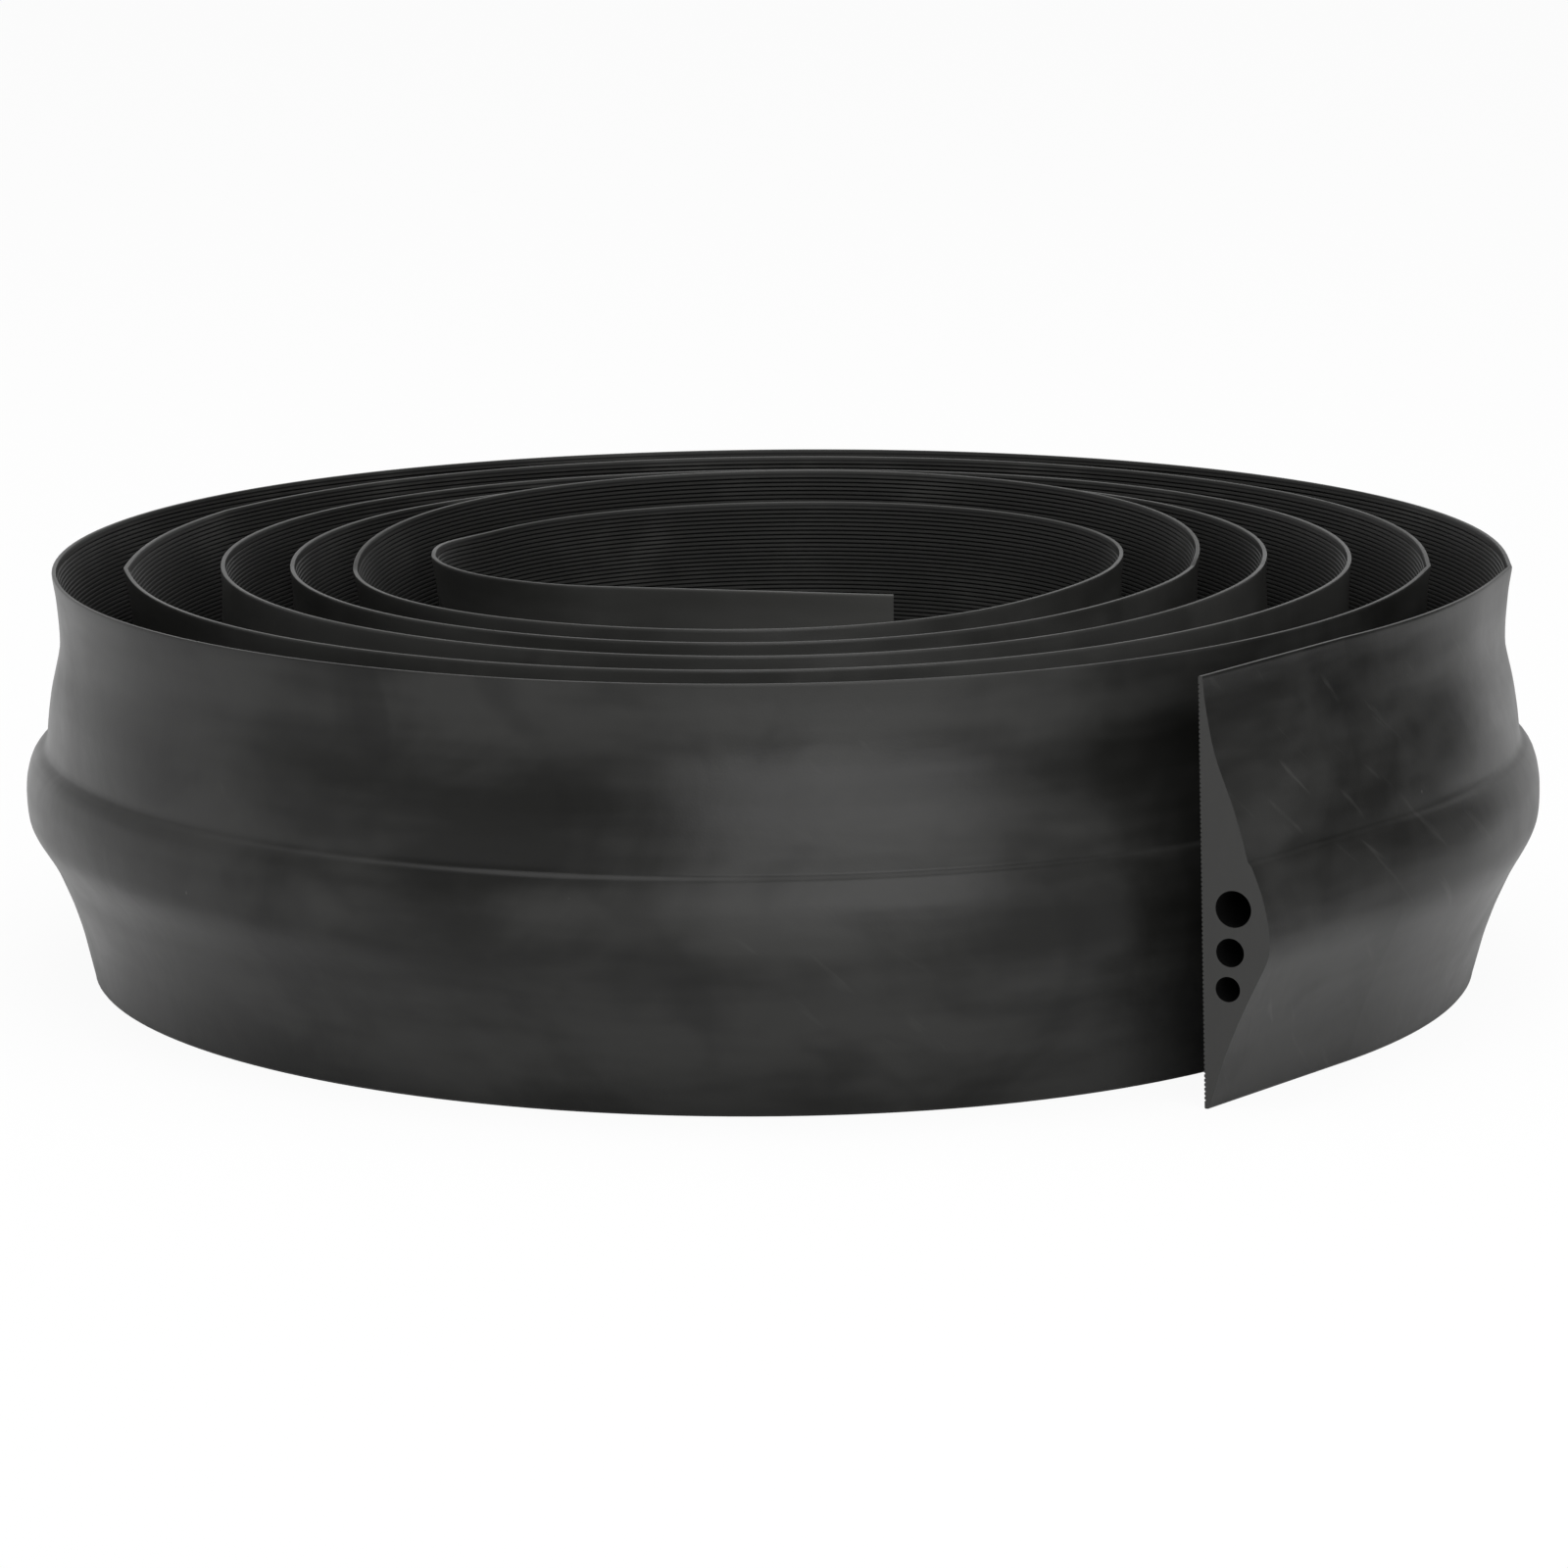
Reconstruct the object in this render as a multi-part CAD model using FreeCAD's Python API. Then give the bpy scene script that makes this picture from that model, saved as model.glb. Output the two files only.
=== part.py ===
"""Rubber threshold ramp strip, rolled up and standing on its edge.

One extruded rubber strip with a flat ribbed back and a low ramp on its face.
It is rolled up with the back inside, in nearly six turns, and its thin upper
flange leans outwards, most at the left and the right of the roll.
The strip is drawn in lengths that meet face to face, one solid each. A rolled
length is a ruled loft through its section at close stations of the spiral.
Millimetres, Z up, the floor at z = 0, the cut free end at the front right.
"""
import FreeCAD
import Part

import math
import os

Vector = FreeCAD.Vector

# driving dimensions of the section
strip_width = 150.0        # height of the roll, as the strip stands on its edge
crest_height = 24.5        # back face to the crest
edge_thickness = 1.5       # rubber at the two long edges

# corners of the ramp face, from the top edge down:
# share of the width, share of the crest height
lip = (0.053, 0.061)             # the flat lip ends and the gentle ramp starts
flange = (0.200, 0.257)          # the gentle ramp is slightly hollow
ledge_start = (0.407, 0.714)
ledge_end = (0.433, 0.731)
brow = (0.560, 0.959)
crest = (0.617, 1.0)
fall = (0.660, 0.927)            # the crest is rounded down to here
hollow = (0.833, 0.416)          # the lower ramp is slightly hollow

# corners of the flat back, as shares of the width: where the leaning flange bends
back_bends = (0.200, 0.407, 0.680)

# three lengthwise bores under the crest, from the top edge down
bore_diameters = (12.8, 10.0, 8.8)
bore_places = (0.532, 0.633, 0.719)    # centres, as shares of the width
bore_depths = (0.510, 0.423, 0.476)    # centres, as shares of the thickness there
bore_limit = 0.6                       # a bore takes no more of the thickness

# fine lengthwise ribs of the back face
rib_pitch = 1.55
groove_depth = 0.5
rib_margin = 2.0           # smooth band next to each long edge

# roll, seen from above, measured on the back face
roll_radius = 263.6        # mean radius at the start of the first turn
turn_clearance = 3.15      # air between a crest and the turn outside it
full_turns = 5             # whole turns
last_turn = 180.0          # degrees of the last turn that is begun
station_step = 7.5         # degrees between the stations of the spiral
shift_size = 7.4           # the roll is pushed to the back left
shift_way = 134.4
oval_size = 8.74           # the roll is a little longer from front to back
oval_way = 76.1
lobe_size = 3.6            # and slightly three-cornered
lobe_way = 34.0

# outward lean of the top edge: its mean, and its waves round a turn
lean_mean = 8.1
lean_shift = 1.7
lean_shift_way = 140.0
lean_oval = 7.5
lean_oval_way = 16.0
# how much of that lean the strip has at every half turn, from the right extreme
half_turn_leans = (0.79, 0.87, 0.66, 0.83, 0.69, 0.51, 0.44, 0.68, 0.64, 1.0, 0.59, 0.96)
# the section's own part in the lean: share of the width, share of the lean
lean_line = ((0.0, 1.0), (0.20, 0.43), (0.407, 0.06), (0.46, 0.21), (0.52, 0.17),
             (0.60, 0.0), (0.66, -0.2), (0.71, -0.27), (0.80, -0.23), (1.0, -0.07))
flange_share = 0.44        # the flange that leans, as a share of the width
turn_lifts = (0.0, 1.6, 1.2, 2.5, 9.5, 1.6)    # how high the back of each turn stands

# the two cut ends
free_run = 94.0            # straight length at the outer cut end
free_bend_radius = 340.0   # slack bend between that run and the first turn
free_bend = 28.5           # degrees
tail_bend = 81.0           # degrees of the tight bend before the inner cut end
tail_bend_share = 0.464    # radius of that bend, as a share of the eye's radius
tail_run_share = 0.993     # straight length at the inner cut end, likewise

pitch = crest_height + turn_clearance
up = Vector(0.0, 0.0, 1.0)


def ramp_corners():
    """Corners of the ramp face as (height above the back face, z), from the top down."""
    corners = [(edge_thickness, strip_width)]
    for down, height in (lip, flange, ledge_start, ledge_end, brow, crest, fall, hollow):
        thickness = max(edge_thickness, crest_height * height)
        corners.append((thickness, strip_width * (1.0 - down)))
    corners.append((edge_thickness, 0.0))
    return corners


def thickness_at(height):
    """Thickness of the strip at a height above the floor."""
    points = ramp_corners()
    for upper, lower in zip(points[:-1], points[1:]):
        if height >= lower[1]:
            share = (height - lower[1]) / (upper[1] - lower[1])
            return lower[0] + share * (upper[0] - lower[0])
    return edge_thickness


def bores():
    """Centre above the back face, height and radius of each bore."""
    found = []
    for diameter, place_share, depth_share in zip(bore_diameters, bore_places, bore_depths):
        height = strip_width * (1.0 - place_share)
        thickness = thickness_at(height)
        radius = min(diameter, bore_limit * thickness) / 2.0
        found.append((depth_share * thickness, height, radius))
    return found


def rib_points():
    """Corners of the sharp ribs of the back face, from the floor up."""
    count = round((strip_width - 2.0 * rib_margin) / rib_pitch)
    first = (strip_width - count * rib_pitch) / 2.0
    points = [(0.0, first)]
    for index in range(count):
        z = first + index * rib_pitch
        points.append((groove_depth, z + rib_pitch / 2.0))
        points.append((0.0, z + rib_pitch))
    return points


def section_outline(ribbed=False):
    """Corners of the whole section, down the ramp face and up the back."""
    outline = ramp_corners() + [(0.0, 0.0)]
    if ribbed:
        outline += rib_points()
    else:
        outline += [(0.0, strip_width * (1.0 - down)) for down in reversed(back_bends)]
    return outline + [(0.0, strip_width)]


def lean_share(height):
    """The section's part in the lean at a height above the floor."""
    down = 1.0 - height / strip_width
    for upper, lower in zip(lean_line[:-1], lean_line[1:]):
        if down <= lower[0]:
            share = (down - upper[0]) / (lower[0] - upper[0])
            return upper[1] + share * (lower[1] - upper[1])
    return lean_line[-1][1]


def heading_vectors(heading):
    """Unit vectors along the strip and out of its ramp face."""
    along = Vector(math.cos(heading), math.sin(heading), 0.0)
    out = Vector(math.sin(heading), -math.cos(heading), 0.0)
    return along, out


def place(point, out, corner):
    """Corner of the section, set up across the path at the given point."""
    return point + out * corner[0] + up * corner[1]


def section_wire(point, heading, lean=0.0, lift=0.0, ribbed=False):
    """The section as a closed wire across the path, leaning and lifted.

    A corner moves out by its share of the lean and comes down as the flange tilts.
    """
    _, out = heading_vectors(heading)
    corners = []
    for thickness, height in section_outline(ribbed):
        push = lean * lean_share(height)
        drop = 0.0
        if height > strip_width * (1.0 - flange_share):
            drop = push * push / (2.0 * flange_share * strip_width)
        corners.append(place(point, out, (thickness + push, height + lift - drop)))
    return Part.makePolygon(corners + [corners[0]])


def spiral_radius(angle):
    """Back-face radius and its slope per radian at an unwinding angle."""
    falling = pitch / (2.0 * math.pi)
    radius = roll_radius - falling * angle
    slope = -falling
    for size, way, lobes in ((shift_size, shift_way, 1),
                             (oval_size, oval_way, 2),
                             (lobe_size, lobe_way, 3)):
        phase = lobes * (angle - math.radians(way))
        radius += size * math.cos(phase)
        slope -= lobes * size * math.sin(phase)
    return radius, slope


def spiral_point(angle):
    """Point and heading of the spiral at an unwinding angle."""
    radius, slope = spiral_radius(angle)
    point = Vector(radius * math.cos(angle), radius * math.sin(angle), 0.0)
    heading = angle + math.pi / 2.0 - math.atan2(slope, radius)
    return point, heading


def lean_at(angle):
    """Outward lean of the top edge at an unwinding angle."""
    lean = lean_mean
    for size, way, lobes in ((lean_shift, lean_shift_way, 1), (lean_oval, lean_oval_way, 2)):
        lean += size * math.cos(lobes * (angle - math.radians(way)))
    halves = angle / math.pi
    index = min(int(halves), len(half_turn_leans) - 2)
    share = halves - index
    factor = half_turn_leans[index] * (1.0 - share) + half_turn_leans[index + 1] * share
    return lean * factor


def lift_at(angle):
    """Height above the floor: each turn's back half stands up by that turn's lift."""
    turn = min(int(angle / (2.0 * math.pi)), len(turn_lifts) - 1)
    return turn_lifts[turn] * max(0.0, math.sin(angle))


def spiral_stations(start_degrees, end_degrees):
    """Stations of the spiral as (point, heading, lean, lift)."""
    count = max(2, int(round((end_degrees - start_degrees) / station_step)))
    stations = []
    for index in range(count + 1):
        degrees = start_degrees + (end_degrees - start_degrees) * index / count
        angle = math.radians(degrees)
        point, heading = spiral_point(angle)
        stations.append((point, heading, lean_at(angle), lift_at(angle)))
    return stations


def bend_stations(point, heading, radius, angle, leans):
    """Stations of a bend that leaves a point on a heading, the lean going over evenly."""
    count = max(2, int(round(math.degrees(angle) / station_step)))
    _, out = heading_vectors(heading)
    centre = point - out * radius
    stations = []
    for index in range(count + 1):
        share = index / count
        now = heading + angle * share
        _, now_out = heading_vectors(now)
        lean = leans[0] + share * (leans[1] - leans[0])
        stations.append((centre + now_out * radius, now, lean, 0.0))
    return stations


def lofted(stations):
    """One solid through the section at all the stations."""
    wires = [section_wire(*station) for station in stations]
    return Part.makeLoft(wires, True, True)


def bored_run(point, heading, length):
    """Straight cut end with its ribs and the three bores."""
    along, out = heading_vectors(heading)
    body = Part.Face(section_wire(point, heading, ribbed=True)).extrude(along * length)
    for depth, height, radius in bores():
        base = place(point, out, (depth, height))
        body = body.cut(Part.makeCylinder(radius, length, base, along))
    return body.Solids[0]


def lead():
    """Cut point and heading of the free run, and the slack bend's stations."""
    point, heading = spiral_point(0.0)
    angle = math.radians(free_bend)
    bend_heading = heading - angle
    along, bend_out = heading_vectors(bend_heading)
    _, out = heading_vectors(heading)
    bend_start = point + (bend_out - out) * free_bend_radius
    stations = bend_stations(bend_start, bend_heading, free_bend_radius, angle,
                             (0.0, lean_at(0.0)))
    return bend_start - along * free_run, bend_heading, stations


def tail(end_degrees):
    """The tight bend's stations, and the length of the straight run after it."""
    end_angle = math.radians(end_degrees)
    point, heading = spiral_point(end_angle)
    eye_radius = point.Length
    stations = bend_stations(point, heading, tail_bend_share * eye_radius,
                             math.radians(tail_bend), (lean_at(end_angle), 0.0))
    return stations, tail_run_share * eye_radius


def build():
    """All lengths of the strip by name, from the outer cut end to the inner one."""
    cut_point, free_heading, slack_bend = lead()
    total = 360.0 * full_turns + last_turn
    tight_bend, tail_run = tail(total)
    nodes = {"free_end": bored_run(cut_point, free_heading, free_run)}
    for turn in range(full_turns):
        stations = spiral_stations(360.0 * turn, 360.0 * (turn + 1))
        if turn == 0:
            stations = slack_bend[:-1] + stations
        nodes["turn_%d" % (turn + 1)] = lofted(stations)
    stations = spiral_stations(360.0 * full_turns, total) + tight_bend[1:]
    nodes["turn_%d" % (full_turns + 1)] = lofted(stations)
    point, heading, _, _ = tight_bend[-1]
    nodes["inner_end"] = bored_run(point, heading, tail_run)
    return nodes


def centred(nodes):
    """Move the roll so that its box stands centred on the origin."""
    box = Part.makeCompound(list(nodes.values())).optimalBoundingBox(False, False)
    move = Vector(-(box.XMin + box.XMax) / 2.0, -(box.YMin + box.YMax) / 2.0, 0.0)
    for shape in nodes.values():
        shape.translate(move)


parts = build()
centred(parts)
os.makedirs("parts", exist_ok=True)
for name, shape in parts.items():
    shape.exportStep(os.path.join("parts", name + ".step"))
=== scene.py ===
"""Rubber threshold ramp strip, rolled up on its edge: looks, light and camera.

The strip is one extrusion: a flat back with fine ribs, a low ramp with a ledge and a
rounded crest on its face, and three round bores under the crest.
Its section is carried along the roll's path, one piece for each length of the strip.
Metres, Z up, the floor at z = 0, the cut free end at the front right.
"""

import math

import bpy
import numpy as np
from bpy.props import FloatProperty, FloatVectorProperty, PointerProperty
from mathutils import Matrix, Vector
from mathutils.geometry import tessellate_polygon


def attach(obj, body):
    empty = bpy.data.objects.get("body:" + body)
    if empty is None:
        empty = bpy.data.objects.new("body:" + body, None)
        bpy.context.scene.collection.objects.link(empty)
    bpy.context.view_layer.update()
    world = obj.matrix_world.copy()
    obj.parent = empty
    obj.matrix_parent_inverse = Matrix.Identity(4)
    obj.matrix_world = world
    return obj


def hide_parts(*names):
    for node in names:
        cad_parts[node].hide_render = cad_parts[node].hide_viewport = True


bl_info = {
    "name": "Rolled Rubber Ramp Strip",
    "version": (1, 0, 0),
    "blender": (4, 5, 0),
    "location": "3D View > Sidebar > Ramp Strip",
    "description": "Builds a rolled rubber threshold ramp strip with its studio",
    "category": "Add Mesh",
}

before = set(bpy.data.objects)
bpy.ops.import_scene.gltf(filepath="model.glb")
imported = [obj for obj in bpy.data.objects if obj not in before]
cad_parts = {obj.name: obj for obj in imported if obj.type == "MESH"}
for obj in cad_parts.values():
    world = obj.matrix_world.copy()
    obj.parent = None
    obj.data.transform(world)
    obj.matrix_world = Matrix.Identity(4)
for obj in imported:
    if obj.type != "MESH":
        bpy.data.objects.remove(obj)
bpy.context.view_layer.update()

MM = 0.001

# width of the strip, in mm: every place "mm down" lies between 0 and this
WIDTH_MM = 150.0
# thickness of the strip at its long edges, in mm
EDGE_MM = 1.5
# outline of the ramp face: mm down from the top edge, and height above the back as a
# share of the crest height
RAMP_CORNERS = (
    (0.0, 0.061), (8.0, 0.086), (20.9, 0.171), (28.3, 0.241), (35.9, 0.355), (44.8, 0.49),
    (55.4, 0.613), (63.3, 0.69), (64.7, 0.742), (70.0, 0.825), (74.3, 0.885),
    (79.3, 0.935), (84.0, 0.969), (91.0, 1.0), (94.0, 0.992),
    (98.3, 0.935), (109.2, 0.71), (119.4, 0.51), (131.2, 0.31), (145.5, 0.122),
    (WIDTH_MM, 0.061),
)
# how far the section is rounded about its corners: mm down, and mm each way
RAMP_ROUNDING = (
    (0.0, 3.0), (56.0, 3.0), (61.0, 0.5), (67.0, 0.5), (72.0, 2.0), (WIDTH_MM, 3.0))
# how the leaning section bends: mm down, and its share of the lean at the top edge
LEAN_CORNERS = (
    (0.0, 1.0), (30.0, 0.43), (62.0, 0.06), (66.0, 0.19), (70.0, 0.21), (78.0, 0.17),
    (90.0, 0.0), (99.0, -0.2), (106.0, -0.27), (120.0, -0.23), (WIDTH_MM, -0.07),
)
# how far that bending line is rounded about its corners: mm down, and mm each way
LEAN_ROUNDING = (
    (0.0, 3.0), (54.0, 3.0), (61.0, 1.0), (68.0, 1.0), (76.0, 3.0), (WIDTH_MM, 3.0))
# waves of the roll's radius: size in mm, place of the crest in degrees, waves a turn
RADIUS_WAVES = ((7.4, 134.4, 1), (8.74, 76.1, 2), (3.6, 34.0, 3))
# waves of the top edge's lean, likewise
LEAN_WAVES = ((1.7, 140.0, 1), (7.5, 16.0, 2))
# how much of that lean the strip has at every half turn, from the right extreme
HALF_TURN_LEANS = (
    0.79, 0.87, 0.66, 0.83, 0.69, 0.51, 0.44, 0.68, 0.64, 1.0, 0.59, 0.96)
# the leaning top edge comes down by the lean squared over this length, in mm
DROP_LENGTH = 132.0
# the flange, which bends down with its edge, is this wide, in mm
FLANGE = 66.0
# the ledge: mm down, mm that the squeeze reaches each way, and how far the ledge is
# squeezed down where the top edge leans, as a share of the lean
LEDGE, LEDGE_REACH, LEDGE_SAG = 63.0, 6.0, 0.2
# old creases of the upper flange: unwinding angle, mm outwards at the top, reach in mm
CREASES = (
    (0.0, 2.0, 16.0), (360.0, 2.0, 16.0), (511.0, 1.5, 22.0), (540.0, 2.5, 24.0))
# how far down a crease runs, in mm
CREASE_DEPTH = 60.0
# how far the back half of each turn stands above the floor, in mm
TURN_LIFTS = (0.0, 1.6, 1.0, 2.5, 9.2, 1.7)
# degrees of a whole turn of the spiral and of the last one, and the number of turns
TURN, LAST_TURN, TURNS = 360.0, 180.0, 6
# degrees between two stations of a turn, and stations of the tight bend at the end
STATION_STEP, TAIL_STATIONS = 2.0, 46
# the lean fades over the tail: share lost in a length in mm, and what is kept at least
TAIL_FADE, TAIL_FADE_LENGTH, TAIL_KEPT = 0.15, 120.0, 0.75
# length over which the strip rises to the tight bend, in mm
RISE_LENGTH = 70.0
# the outer cut is off square: its slant, and the mm of strip over which that fades
CUT_SLANT, CUT_REACH = 0.177, 30.0
# bores: diameter in mm, mm down from the top edge, height above the back in mm
BORES = ((12.8, 79.8, 11.4), (10.0, 95.0, 10.0), (8.8, 107.8, 9.0))
# material slots of a piece, in the order of rubber_materials
RAMP_FACE, RIBBED_BACK, CUT_FACE, BORE_WALL = range(4)
# edges that bend by more than this stay sharp, in degrees
SHARP = 26.0

# where the spiral's centre stands in the frame
ROLL_CENTRE = (-1.246 * MM, -8.641 * MM, 0.0)


def linear(hex_colour):
    """Linear colour of an sRGB hex string."""
    parts = [int(hex_colour[i:i + 2], 16) / 255.0 for i in (1, 3, 5)]
    return tuple(
        c / 12.92 if c <= 0.04045 else ((c + 0.055) / 1.055) ** 2.4 for c in parts)


class StripSection(bpy.types.PropertyGroup):
    """Sizes of the extruded section."""

    width: FloatProperty(
        name="Width", description="Width of the strip, which is the roll's height",
        default=150.0 * MM, unit="LENGTH")
    crest: FloatProperty(
        name="Crest", description="Height of the crest above the back face",
        default=24.5 * MM, unit="LENGTH")
    rib_pitch: FloatProperty(
        name="Rib pitch", description="Distance between two ribs of the back",
        default=1.55 * MM, unit="LENGTH")
    rib_depth: FloatProperty(
        name="Rib depth", description="Depth of the grooves between the ribs",
        default=0.5 * MM, unit="LENGTH")
    rib_margin: FloatProperty(
        name="Rib margin", description="Smooth band of the back at each long edge",
        default=2.0 * MM, unit="LENGTH")
    edge_round: FloatProperty(
        name="Edge rounding", description="Radius at the long edges",
        default=0.35 * MM, unit="LENGTH")


class StripRoll(bpy.types.PropertyGroup):
    """Sizes of the roll, seen from above, measured on the back face."""

    radius: FloatProperty(
        name="Radius", description="Mean radius at the start of the first turn",
        default=263.6 * MM, unit="LENGTH")
    pitch: FloatProperty(
        name="Pitch", description="Fall of the radius in one turn",
        default=27.65 * MM, unit="LENGTH")
    lean: FloatProperty(
        name="Lean", description="Mean outward lean of the top edge",
        default=8.1 * MM, unit="LENGTH")
    free_tilt: FloatProperty(
        name="Free tilt", description="Inward tilt of the top edge at the outer cut end",
        default=3.8 * MM, unit="LENGTH")
    free_run: FloatProperty(
        name="Free run", description="Straight length at the outer cut end",
        default=94.0 * MM, unit="LENGTH")
    free_bend_radius: FloatProperty(
        name="Slack bend radius", description="Bend between that run and the first turn",
        default=340.0 * MM, unit="LENGTH")
    free_bend: FloatProperty(
        name="Slack bend", description="Angle of that bend",
        default=math.radians(28.5), subtype="ANGLE")
    tail_bend: FloatProperty(
        name="Tight bend", description="Angle of the bend before the inner cut end",
        default=math.radians(81.0), subtype="ANGLE")
    tail_bend_radius: FloatProperty(
        name="Tight bend radius", description="Radius of that bend",
        default=50.0 * MM, unit="LENGTH")
    tail_run: FloatProperty(
        name="Tail run", description="Straight length at the inner cut end",
        default=103.0 * MM, unit="LENGTH")
    tail_lift: FloatProperty(
        name="Tail lift", description="How far the tight bend stands off the floor",
        default=4.9 * MM, unit="LENGTH")


class RubberLook(bpy.types.PropertyGroup):
    """Colours and gloss of the rubber."""

    rubber: FloatVectorProperty(
        name="Rubber", description="Carbon-black rubber, as extruded", subtype="COLOR",
        size=3, min=0.0, max=1.0, default=linear("#161615"))
    bloom: FloatVectorProperty(
        name="Bloom", description="Greyer patches where wax of the cure has come out",
        subtype="COLOR", size=3, min=0.0, max=1.0, default=linear("#2e2e2d"))
    # this pale colour is also what the painted light on the inner end and inner turns is
    # mixed towards
    scuff: FloatVectorProperty(
        name="Scuffs", description="Pale rubbed marks and dust", subtype="COLOR",
        size=3, min=0.0, max=1.0, default=linear("#555553"))
    # painted shade: the rib grooves and the bore walls are painted in this near black;
    # water marks are a real stain mixed towards it
    groove: FloatVectorProperty(
        name="Grooves", description="Deep black of the grooves, bores and water marks",
        subtype="COLOR", size=3, min=0.0, max=1.0, default=linear("#080808"))
    cut: FloatVectorProperty(
        name="Cut rubber", description="Rubber cut across with a knife", subtype="COLOR",
        size=3, min=0.0, max=1.0, default=linear("#313130"))
    roughness: FloatProperty(
        name="Roughness", description="Roughness of the extruded faces",
        default=0.34, min=0.0, max=1.0)
    sheen: FloatProperty(
        name="Reflection", description="Specular level of the extruded faces",
        default=0.205, min=0.0, max=1.0)


class StudioLook(bpy.types.PropertyGroup):
    """Floor and light."""

    world: FloatProperty(
        name="World light", description="Strength of the light from all round",
        default=0.5, min=0.0)
    front: FloatProperty(
        name="Front lamp", description="Power of the lamp at the front right, in watts",
        default=28.0, min=0.0)
    top: FloatProperty(
        name="Top lamp", description="Power of the lamp overhead, in watts",
        default=43.0, min=0.0)


def rounded_line(corners, rounding, at):
    """Heights of a line through corners, rounded about them, at places.

    Each is the mean of the line over a reach either way, and the reach changes evenly
    between the places that the rounding names.
    """
    places, heights = np.array(corners).T
    reach = np.interp(at, *np.array(rounding).T)
    steps = np.linspace(-1.0, 1.0, 21)[:, None]
    return np.interp(at[None, :] + steps * reach[None, :], places, heights).mean(axis=0)


def rib_count(section):
    """Number of ribs on the back."""
    return round((section.width - 2.0 * section.rib_margin) / section.rib_pitch)


def section_outline(section):
    """Closed outline of the section as (height above the back, z), in metres.

    It starts at the back of the top edge, runs over that edge, down the ramp face,
    round the lower edge and up the back. The ramp face is the rounded line through
    its corners. A rib is a flat top and a groove at every pitch.
    """
    width = section.width
    edge = EDGE_MM * MM
    round_off = section.edge_round
    # places down the ramp face, in mm, closest at the ledge
    down = np.concatenate([
        np.array([0.6, 1.2, 2.2, 4.0, 6.0, 8.0, 10.0]), np.arange(13.0, 57.0, 3.3),
        np.arange(58.0, 68.0, 0.45), np.arange(68.0, 78.0, 1.0),
        np.arange(78.5, 112.0, 1.5), np.arange(113.0, 146.0, 3.3),
        np.array([147.0, 148.4, 149.3])])
    height = rounded_line(RAMP_CORNERS, RAMP_ROUNDING, down) * section.crest
    quarter = np.radians([0.0, 30.0, 60.0, 90.0])
    top_back = np.stack([round_off * (1.0 - np.cos(quarter)),
                         width - round_off * (1.0 - np.sin(quarter))], 1)
    top_front = np.stack([edge - round_off * (1.0 - np.sin(quarter)),
                          width - round_off * (1.0 - np.cos(quarter))], 1)
    ramp = np.stack([height, width * (1.0 - down / WIDTH_MM)], 1)
    foot_front = top_front[::-1] * (1.0, -1.0) + (0.0, width)
    foot_back = top_back[::-1] * (1.0, -1.0) + (0.0, width)
    count = rib_count(section)
    first = (width - count * section.rib_pitch) / 2.0
    start = first + section.rib_pitch * np.arange(count)
    # each groove: its two edges and its bottom, as shares of the pitch
    level = np.tile([0.0, section.rib_depth, 0.0], count)
    places = start[:, None] + section.rib_pitch * np.array([0.26, 0.5, 0.74])
    ribs = np.stack([level, places.ravel()], 1)
    return np.concatenate([top_back, top_front, ramp, foot_front, foot_back, ribs])


def wave_sum(waves, angle):
    """Sum of cosine waves of the unwinding angle, and of their slopes per radian."""
    total = np.zeros_like(angle)
    slope = np.zeros_like(angle)
    for size, place, count in waves:
        phase = count * (angle - math.radians(place))
        total += size * MM * np.cos(phase)
        slope -= count * size * MM * np.sin(phase)
    return total, slope


def spiral(roll, degrees):
    """Points and headings of the spiral on the back face.

    The radius falls by one pitch a turn, plus one, two and three waves a turn. The
    heading is at right angles to the ray, turned by the slope over the radius.
    """
    angle = np.radians(degrees)
    wave, slope = wave_sum(RADIUS_WAVES, angle)
    falling = roll.pitch / (2.0 * math.pi)
    radius = roll.radius - falling * angle + wave
    heading = angle + math.pi / 2.0 - np.arctan2(slope - falling, radius)
    return radius * np.cos(angle), radius * np.sin(angle), heading


def straight(x, y, heading, run):
    """Points at distances run along a heading from a point."""
    return x + run * math.cos(heading), y + run * math.sin(heading), heading + 0.0 * run


def bend(x, y, heading, radius, angle):
    """Points of a left-hand arc that leaves a point on a heading, at turned angles."""
    side_x = -math.sin(heading) * radius
    side_y = math.cos(heading) * radius
    now = heading + angle
    return (x + side_x + radius * np.sin(now), y + side_y - radius * np.cos(now), now)


def path_lengths(x, y):
    """Distance along a line of points, from its first."""
    step = np.hypot(np.diff(x), np.diff(y))
    return np.concatenate([[0.0], np.cumsum(step)])


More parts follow.
